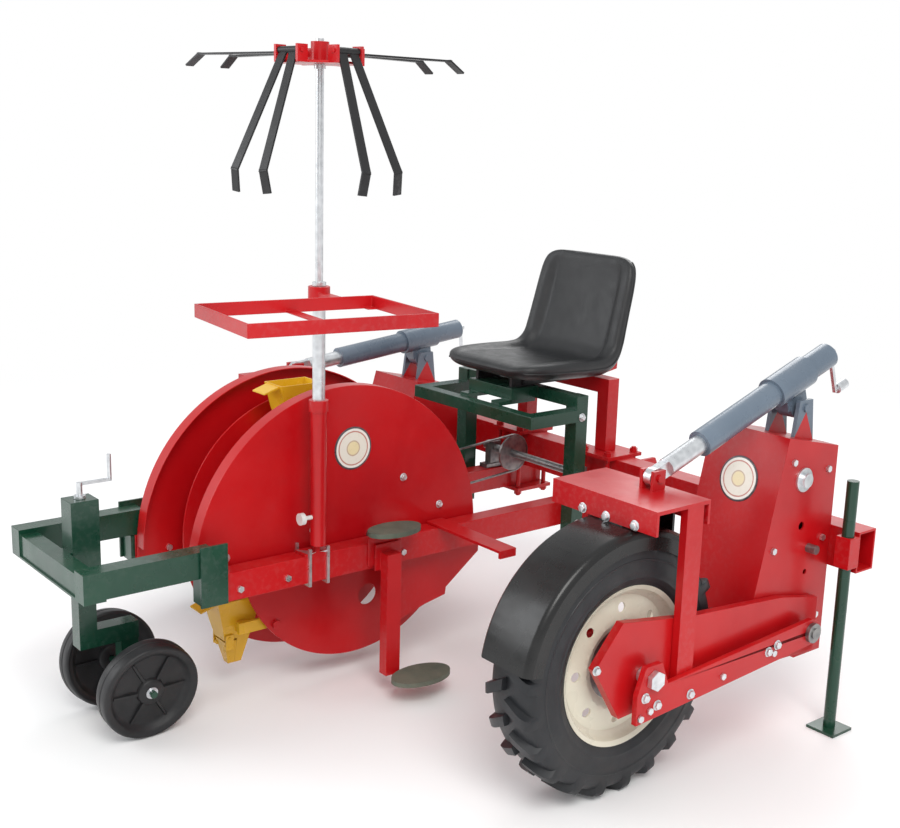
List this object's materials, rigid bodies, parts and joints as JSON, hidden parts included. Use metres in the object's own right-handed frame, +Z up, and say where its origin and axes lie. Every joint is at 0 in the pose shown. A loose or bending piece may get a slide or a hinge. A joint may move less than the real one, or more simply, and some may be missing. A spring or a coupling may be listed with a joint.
{
  "type": "film transplanter row unit",
  "caption": "Tractor-mounted transplanter row unit with duckbill cup drum, operator seat, drive wheels on crank-jacked forks, press wheels and a tray carousel.",
  "frame": {"origin": "centre of the bounding box on the ground plane", "axes": "+X to the machine's right hand side, +Y forward towards the tractor, +Z up"},
  "size_m": [2.176, 2.095, 1.874],
  "materials": {
    "red_paint": "gloss enamel",
    "green_paint": "gloss enamel",
    "cup_yellow": "satin enamel",
    "galvanised": "zinc plated",
    "tyre_rubber": "black rubber",
    "rim_cream": "satin enamel",
    "jack_grey": "satin enamel",
    "seat_vinyl": "black vinyl",
    "strap_black": "powder coat",
    "pad_rubber": "ribbed rubber",
    "black_plastic": "gloss moulding",
    "steel": "oiled steel",
    "press_rubber": "black rubber"
  },
  "bodies": {
    "root": {"toolbar": "red_paint", "side_beams": "red_paint", "beam_clamps": "red_paint", "toolbar_brackets": "red_paint", "lower_link_pins": "galvanised", "headstock": "red_paint", "drum_guards": "red_paint", "lower_shields": "red_paint", "drive_casings": "red_paint", "frame_bolts": "galvanised", "drive_chains": "steel", "shaft_bearings": "steel", "seat_frame": "green_paint", "footrests": "red_paint", "foot_pads": "pad_rubber", "mast_socket": "red_paint", "mast_tube": "galvanised", "rear_frame": "green_paint"},
    "near_fork": {"near_fork_arms": "red_paint", "near_crosshead": "red_paint", "chain_guard": "red_paint", "wheel_chain": "steel", "near_axle": "galvanised", "near_mudguard": "black_plastic"},
    "near_wheel": {"near_tyre": "tyre_rubber", "near_rim": "rim_cream"},
    "far_fork": {"far_fork": "red_paint"},
    "far_wheel": {"far_tyre": "tyre_rubber", "far_rim": "rim_cream"},
    "near_jack": {"near_jack_body": "jack_grey"},
    "near_jack_rod": {"near_jack_rod": "galvanised"},
    "near_crank": {"near_crank": "galvanised"},
    "far_jack": {"far_jack_body": "jack_grey"},
    "far_jack_rod": {"far_jack_rod": "galvanised"},
    "far_crank": {"far_crank": "galvanised"},
    "pivot_shaft": {"near_pivot_shaft": "steel"},
    "cross_shaft": {"cross_shaft": "steel"},
    "drum": {"drum_disc": "red_paint", "drum_shaft": "steel"},
    "ring": {"ring_disc": "red_paint"},
    "cup_1": {"cup_1": "cup_yellow"},
    "cup_2": {"cup_2": "cup_yellow"},
    "cup_3": {"cup_3": "cup_yellow"},
    "jaw_1": {"jaw_1": "cup_yellow"},
    "jaw_2": {"jaw_2": "cup_yellow"},
    "jaw_3": {"jaw_3": "cup_yellow"},
    "seat": {"seat": "seat_vinyl"},
    "mast": {"mast_rod": "galvanised"},
    "carousel": {"carousel_hub": "red_paint"},
    "rack": {"tray_rack": "red_paint"},
    "holder_1": {"tray_holder_1": "strap_black"},
    "holder_2": {"tray_holder_2": "strap_black"},
    "holder_3": {"tray_holder_3": "strap_black"},
    "holder_4": {"tray_holder_4": "strap_black"},
    "near_stand": {"near_stand": "green_paint"},
    "far_stand": {"far_stand": "green_paint"},
    "press_carriage": {"press_carriage": "green_paint"},
    "near_press_wheel": {"near_press_wheel": "press_rubber"},
    "far_press_wheel": {"far_press_wheel": "press_rubber"},
    "press_crank": {"press_crank": "galvanised"}
  },
  "joints": [
    {"name": "near_fork_swing", "type": "hinge", "parent": "root", "child": "near_fork", "pos_m": [0.868, 0.6495, 0.32], "axis": [1, 0, 0], "range_deg": [-4, 5]},
    {"name": "near_wheel_spin", "type": "hinge", "parent": "near_fork", "child": "near_wheel", "pos_m": [0.868, 0.0075, 0.34835], "axis": [1, 0, 0], "continuous": true},
    {"name": "near_jack_tilt", "type": "hinge", "parent": "root", "child": "near_jack", "pos_m": [0.868, 0.6975, 0.93], "axis": [1, 0, 0], "range_deg": [-2.52, 3.08]},
    {"name": "near_jack_travel", "type": "slide", "parent": "near_jack", "child": "near_jack_rod", "axis": [0, 0.9417, 0.3365], "range_m": [-0.05327, 0.04302]},
    {"name": "near_crank_turn", "type": "hinge", "parent": "near_jack", "child": "near_crank", "pos_m": [0.868, 0.84876, 1.05839], "axis": [0, 0.9417, 0.3365], "continuous": true},
    {"name": "far_fork_swing", "type": "hinge", "parent": "root", "child": "far_fork", "pos_m": [-0.847, 0.6495, 0.32], "axis": [1, 0, 0], "range_deg": [-4, 5]},
    {"name": "far_wheel_spin", "type": "hinge", "parent": "far_fork", "child": "far_wheel", "pos_m": [-0.847, 0.0075, 0.34835], "axis": [1, 0, 0], "continuous": true},
    {"name": "far_jack_tilt", "type": "hinge", "parent": "root", "child": "far_jack", "pos_m": [-0.847, 0.6975, 0.8], "axis": [1, 0, 0], "range_deg": [-3.53, 4.33]},
    {"name": "far_jack_travel", "type": "slide", "parent": "far_jack", "child": "far_jack_rod", "axis": [0, 0.9933, 0.1154], "range_m": [-0.04419, 0.03576]},
    {"name": "far_crank_turn", "type": "hinge", "parent": "far_jack", "child": "far_crank", "pos_m": [-0.847, 0.88749, 0.89254], "axis": [0, 0.9933, 0.1154], "continuous": true},
    {"name": "pivot_shaft_spin", "type": "hinge", "parent": "root", "child": "pivot_shaft", "pos_m": [0.868, 0.6495, 0.32], "axis": [1, 0, 0], "continuous": true},
    {"name": "cross_shaft_spin", "type": "hinge", "parent": "root", "child": "cross_shaft", "pos_m": [-0.167, 0.6925, 0.54], "axis": [1, 0, 0], "continuous": true},
    {"name": "drum_spin", "type": "hinge", "parent": "root", "child": "drum", "pos_m": [-0.167, -0.2075, 0.467], "axis": [1, 0, 0], "continuous": true},
    {"name": "ring_spin", "type": "hinge", "parent": "root", "child": "ring", "pos_m": [-0.167, -0.1195, 0.467], "axis": [1, 0, 0], "continuous": true},
    {"name": "cup_1_level", "type": "hinge", "parent": "drum", "child": "cup_1", "pos_m": [-0.167, -0.27963, 0.83805], "axis": [1, 0, 0], "continuous": true},
    {"name": "jaw_1_open", "type": "hinge", "parent": "cup_1", "child": "jaw_1", "pos_m": [-0.167, -0.31363, 0.80205], "axis": [1, 0, 0], "range_deg": [-24, 0], "stiffness_Nm_per_rad": 1.5, "springref_deg": 8.59},
    {"name": "cup_2_level", "type": "hinge", "parent": "drum", "child": "cup_2", "pos_m": [-0.167, -0.49278, 0.21901], "axis": [1, 0, 0], "continuous": true},
    {"name": "jaw_2_open", "type": "hinge", "parent": "cup_2", "child": "jaw_2", "pos_m": [-0.167, -0.52678, 0.18301], "axis": [1, 0, 0], "range_deg": [-24, 0], "stiffness_Nm_per_rad": 1.5, "springref_deg": 8.59},
    {"name": "cup_3_level", "type": "hinge", "parent": "drum", "child": "cup_3", "pos_m": [-0.167, 0.14991, 0.34393], "axis": [1, 0, 0], "continuous": true},
    {"name": "jaw_3_open", "type": "hinge", "parent": "cup_3", "child": "jaw_3", "pos_m": [-0.167, 0.11591, 0.30794], "axis": [1, 0, 0], "range_deg": [-24, 0], "stiffness_Nm_per_rad": 1.5, "springref_deg": 8.59},
    {"name": "seat_slide", "type": "slide", "parent": "root", "child": "seat", "axis": [0, 1, 0], "range_m": [-0.03, 0.05]},
    {"name": "mast_raise", "type": "slide", "parent": "root", "child": "mast", "axis": [0, 0, 1], "range_m": [0, 0.25]},
    {"name": "carousel_turn", "type": "hinge", "parent": "mast", "child": "carousel", "pos_m": [0.083, -0.3575, 1.84], "axis": [0, 0, 1], "continuous": true},
    {"name": "rack_swing", "type": "hinge", "parent": "root", "child": "rack", "pos_m": [0.083, -0.3575, 1.19], "axis": [0, 0, 1], "range_deg": [-60, 60]},
    {"name": "holder_1_fold", "type": "hinge", "parent": "carousel", "child": "holder_1", "pos_m": [0.18572, -0.34123, 1.84], "axis": [-0.1564, 0.9877, 0], "range_deg": [-66, 0]},
    {"name": "holder_2_fold", "type": "hinge", "parent": "carousel", "child": "holder_2", "pos_m": [0.06673, -0.25478, 1.84], "axis": [-0.9877, -0.1564, 0], "range_deg": [0, 66]},
    {"name": "holder_3_fold", "type": "hinge", "parent": "carousel", "child": "holder_3", "pos_m": [-0.01972, -0.37377, 1.84], "axis": [0.1564, -0.9877, 0], "range_deg": [0, 66]},
    {"name": "holder_4_fold", "type": "hinge", "parent": "carousel", "child": "holder_4", "pos_m": [0.09927, -0.46022, 1.84], "axis": [0.9877, 0.1564, 0], "range_deg": [-66, 0]},
    {"name": "near_stand_slide", "type": "slide", "parent": "root", "child": "near_stand", "axis": [0, 0, 1], "range_m": [0, 0.22]},
    {"name": "far_stand_slide", "type": "slide", "parent": "root", "child": "far_stand", "axis": [0, 0, 1], "range_m": [0, 0.22]},
    {"name": "press_height", "type": "slide", "parent": "root", "child": "press_carriage", "axis": [0, 0, 1], "range_m": [-0.05, 0.06]},
    {"name": "near_press_spin", "type": "hinge", "parent": "press_carriage", "child": "near_press_wheel", "pos_m": [-0.039, -0.8275, 0.1417], "axis": [0.9903, 0, -0.1392], "continuous": true},
    {"name": "far_press_spin", "type": "hinge", "parent": "press_carriage", "child": "far_press_wheel", "pos_m": [-0.295, -0.8275, 0.1417], "axis": [0.9903, 0, 0.1392], "continuous": true},
    {"name": "press_crank_turn", "type": "hinge", "parent": "root", "child": "press_crank", "pos_m": [-0.167, -0.9475, 0.62], "axis": [0, 0, 1], "continuous": true}
  ],
  "couplings": [
    {"joint": "near_jack_tilt", "follows": "near_fork_swing", "ratio": 0.55527},
    {"joint": "near_jack_travel", "follows": "near_fork_swing", "m_per_rad": -0.58751},
    {"joint": "far_jack_tilt", "follows": "far_fork_swing", "ratio": 0.80703},
    {"joint": "far_jack_travel", "follows": "far_fork_swing", "m_per_rad": -0.48351},
    {"joint": "pivot_shaft_spin", "follows": "near_wheel_spin", "ratio": 1},
    {"joint": "cross_shaft_spin", "follows": "near_wheel_spin", "ratio": 1},
    {"joint": "drum_spin", "follows": "near_wheel_spin", "ratio": 1},
    {"joint": "ring_spin", "follows": "near_wheel_spin", "ratio": 1},
    {"joint": "cup_1_level", "follows": "near_wheel_spin", "ratio": -1},
    {"joint": "cup_2_level", "follows": "near_wheel_spin", "ratio": -1},
    {"joint": "cup_3_level", "follows": "near_wheel_spin", "ratio": -1}
  ]
}
